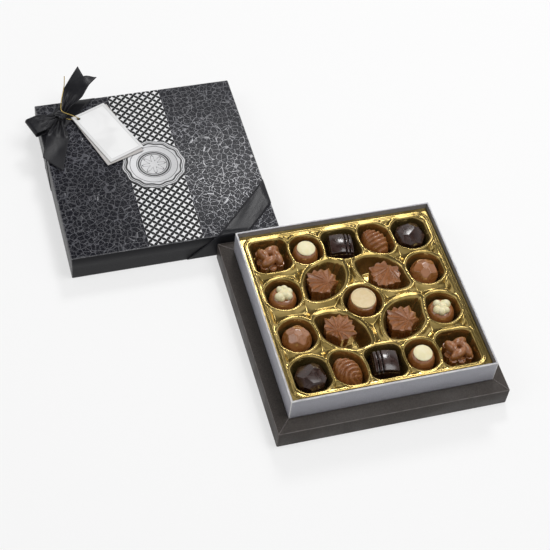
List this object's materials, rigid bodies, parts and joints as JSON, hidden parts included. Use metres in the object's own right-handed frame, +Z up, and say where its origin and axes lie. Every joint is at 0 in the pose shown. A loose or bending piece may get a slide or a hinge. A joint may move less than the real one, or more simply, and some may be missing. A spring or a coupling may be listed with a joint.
{
  "type": "chocolate box",
  "caption": "Open square gift box of assorted chocolates: a dark bevelled plinth with a silver tray and a gold pocketed insert, beside its black ribboned lid with a gift tag.",
  "frame": {"origin": "middle of the underside of the base", "axes": "+X to the right along the front edge, +Y to the back, +Z up"},
  "size_m": [0.4186, 0.5149, 0.0597],
  "materials": {
    "grey_board": "matte grey board",
    "plinth_paper": "fine embossed charcoal paper",
    "silver_paper": "pearl silver paper",
    "gold_film": "vacuum metallised gold film",
    "milk_chocolate": "milk chocolate with a soft gloss",
    "dark_chocolate": "dark chocolate with a soft gloss",
    "white_chocolate": "white chocolate, satin",
    "caramel_chocolate": "caramel coloured chocolate, satin",
    "crackle_paper": "black paper embossed with a crackle",
    "lattice_foil": "silver foil paper printed with a black lattice",
    "seal_foil": "pressed silver foil",
    "black_satin": "black satin",
    "gold_string": "metallic gold string",
    "white_card": "smooth white card",
    "pearl_card": "pearl grey card"
  },
  "bodies": {
    "base": {"bottom_board": "grey_board", "plinth_rail_front": "plinth_paper", "plinth_rail_right": "plinth_paper", "plinth_rail_back": "plinth_paper", "plinth_rail_left": "plinth_paper", "neck_tray": "silver_paper", "platform": "grey_board"},
    "insert": {"gold_insert": "gold_film"},
    "lid": {"lid_board": "grey_board", "lid_cover": "crackle_paper", "lid_lattice_band": "lattice_foil", "lid_seal": "seal_foil", "ribbon_band_rear": "black_satin", "ribbon_band_front": "black_satin", "ribbon_knot": "black_satin", "ribbon_tail_upper": "black_satin", "ribbon_tail_lower": "black_satin", "ribbon_loop": "black_satin", "gold_string": "gold_string"},
    "tag_back": {"tag_back": "pearl_card"},
    "tag_front": {"tag_front": "white_card"},
    "praline_01": {"praline_01_knot": "milk_chocolate"},
    "praline_02": {"praline_02_cup": "milk_chocolate", "praline_02_white_cap": "white_chocolate"},
    "praline_03": {"praline_03_block": "dark_chocolate"},
    "praline_04": {"praline_04_swirl": "milk_chocolate"},
    "praline_05": {"praline_05_gem": "dark_chocolate"},
    "praline_06": {"praline_06_egg": "milk_chocolate", "praline_06_white_blossom": "white_chocolate"},
    "praline_07": {"praline_07_leaf": "milk_chocolate"},
    "praline_08": {"praline_08_leaf": "milk_chocolate"},
    "praline_09": {"praline_09_ball": "milk_chocolate"},
    "praline_10": {"praline_10_caramel_coin": "caramel_chocolate", "praline_10_drum": "milk_chocolate"},
    "praline_11": {"praline_11_ball": "milk_chocolate"},
    "praline_12": {"praline_12_leaf": "milk_chocolate"},
    "praline_13": {"praline_13_leaf": "milk_chocolate"},
    "praline_14": {"praline_14_egg": "milk_chocolate", "praline_14_white_blossom": "white_chocolate"},
    "praline_15": {"praline_15_gem": "dark_chocolate"},
    "praline_16": {"praline_16_swirl": "milk_chocolate"},
    "praline_17": {"praline_17_block": "dark_chocolate"},
    "praline_18": {"praline_18_cup": "milk_chocolate", "praline_18_white_cap": "white_chocolate"},
    "praline_19": {"praline_19_knot": "milk_chocolate"}
  },
  "joints": [
    {"name": "insert_lift", "type": "slide", "parent": "base", "child": "insert", "axis": [0, 0, 1], "range_m": [0, 0.06]},
    {"name": "lid_lift", "type": "slide", "parent": "base", "child": "lid", "axis": [0, 0, 1], "range_m": [0, 0.08]},
    {"name": "tag_back_swing", "type": "hinge", "parent": "lid", "child": "tag_back", "pos_m": [-0.24, 0.3265, 0.035], "axis": [0, 0, 1], "range_deg": [-30, 40]},
    {"name": "tag_front_swing", "type": "hinge", "parent": "lid", "child": "tag_front", "pos_m": [-0.24, 0.3265, 0.036], "axis": [0, 0, 1], "range_deg": [-30, 40]},
    {"name": "praline_01_lift", "type": "slide", "parent": "insert", "child": "praline_01", "axis": [0, 0, 1], "range_m": [0, 0.04]},
    {"name": "praline_02_lift", "type": "slide", "parent": "insert", "child": "praline_02", "axis": [0, 0, 1], "range_m": [0, 0.04]},
    {"name": "praline_03_lift", "type": "slide", "parent": "insert", "child": "praline_03", "axis": [0, 0, 1], "range_m": [0, 0.04]},
    {"name": "praline_04_lift", "type": "slide", "parent": "insert", "child": "praline_04", "axis": [0, 0, 1], "range_m": [0, 0.04]},
    {"name": "praline_05_lift", "type": "slide", "parent": "insert", "child": "praline_05", "axis": [0, 0, 1], "range_m": [0, 0.04]},
    {"name": "praline_06_lift", "type": "slide", "parent": "insert", "child": "praline_06", "axis": [0, 0, 1], "range_m": [0, 0.04]},
    {"name": "praline_07_lift", "type": "slide", "parent": "insert", "child": "praline_07", "axis": [0, 0, 1], "range_m": [0, 0.04]},
    {"name": "praline_08_lift", "type": "slide", "parent": "insert", "child": "praline_08", "axis": [0, 0, 1], "range_m": [0, 0.04]},
    {"name": "praline_09_lift", "type": "slide", "parent": "insert", "child": "praline_09", "axis": [0, 0, 1], "range_m": [0, 0.04]},
    {"name": "praline_10_lift", "type": "slide", "parent": "insert", "child": "praline_10", "axis": [0, 0, 1], "range_m": [0, 0.04]},
    {"name": "praline_11_lift", "type": "slide", "parent": "insert", "child": "praline_11", "axis": [0, 0, 1], "range_m": [0, 0.04]},
    {"name": "praline_12_lift", "type": "slide", "parent": "insert", "child": "praline_12", "axis": [0, 0, 1], "range_m": [0, 0.04]},
    {"name": "praline_13_lift", "type": "slide", "parent": "insert", "child": "praline_13", "axis": [0, 0, 1], "range_m": [0, 0.04]},
    {"name": "praline_14_lift", "type": "slide", "parent": "insert", "child": "praline_14", "axis": [0, 0, 1], "range_m": [0, 0.04]},
    {"name": "praline_15_lift", "type": "slide", "parent": "insert", "child": "praline_15", "axis": [0, 0, 1], "range_m": [0, 0.04]},
    {"name": "praline_16_lift", "type": "slide", "parent": "insert", "child": "praline_16", "axis": [0, 0, 1], "range_m": [0, 0.04]},
    {"name": "praline_17_lift", "type": "slide", "parent": "insert", "child": "praline_17", "axis": [0, 0, 1], "range_m": [0, 0.04]},
    {"name": "praline_18_lift", "type": "slide", "parent": "insert", "child": "praline_18", "axis": [0, 0, 1], "range_m": [0, 0.04]},
    {"name": "praline_19_lift", "type": "slide", "parent": "insert", "child": "praline_19", "axis": [0, 0, 1], "range_m": [0, 0.04]}
  ]
}
